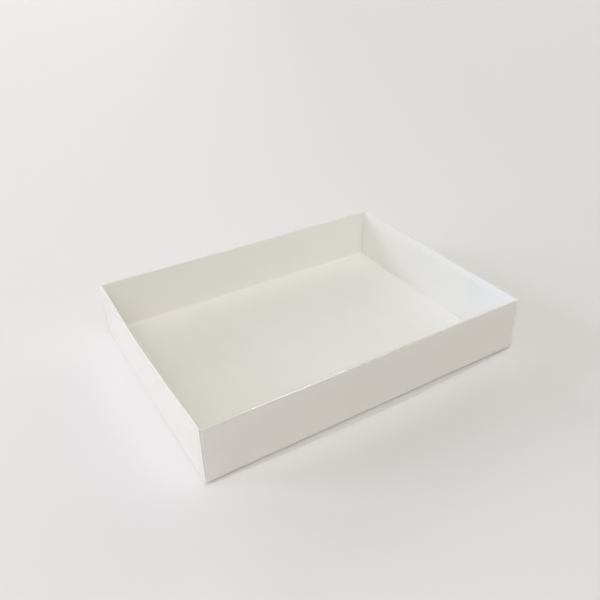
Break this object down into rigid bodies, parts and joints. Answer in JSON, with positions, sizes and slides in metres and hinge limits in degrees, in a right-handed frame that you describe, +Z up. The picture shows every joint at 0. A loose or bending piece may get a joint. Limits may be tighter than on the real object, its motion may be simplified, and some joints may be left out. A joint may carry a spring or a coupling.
{
  "type": "lidded box",
  "caption": "Shallow white folded-card tray with lined end walls, closed by a clear folded-sheet lid that lifts straight off.",
  "frame": {"origin": "on the surface that the box stands on, under the middle of the tray", "axes": "+Z up; +X along the long side, towards the right end wall; +Y towards the back wall, so the front wall faces -Y"},
  "size_m": [0.1562, 0.1188, 0.0264],
  "materials": {
    "white_card": "smooth coated board, satin",
    "clear_sheet": "clear, glossy"
  },
  "bodies": {
    "tray": {"tray_floor": "white_card", "tray_front_wall": "white_card", "tray_back_wall": "white_card", "tray_left_wall": "white_card", "tray_right_wall": "white_card", "tray_left_lining": "white_card", "tray_right_lining": "white_card", "tray_front_left_tab": "white_card", "tray_back_left_tab": "white_card", "tray_front_right_tab": "white_card", "tray_back_right_tab": "white_card"},
    "lid": {"lid_top": "clear_sheet", "lid_front_skirt": "clear_sheet", "lid_back_skirt": "clear_sheet", "lid_left_skirt": "clear_sheet", "lid_right_skirt": "clear_sheet", "lid_front_left_glue_tab": "clear_sheet", "lid_back_left_glue_tab": "clear_sheet", "lid_front_right_glue_tab": "clear_sheet", "lid_back_right_glue_tab": "clear_sheet"}
  },
  "joints": [
    {"name": "lid_lift", "type": "slide", "parent": "tray", "child": "lid", "axis": [0, 0, 1], "range_m": [0, 0.06]}
  ]
}
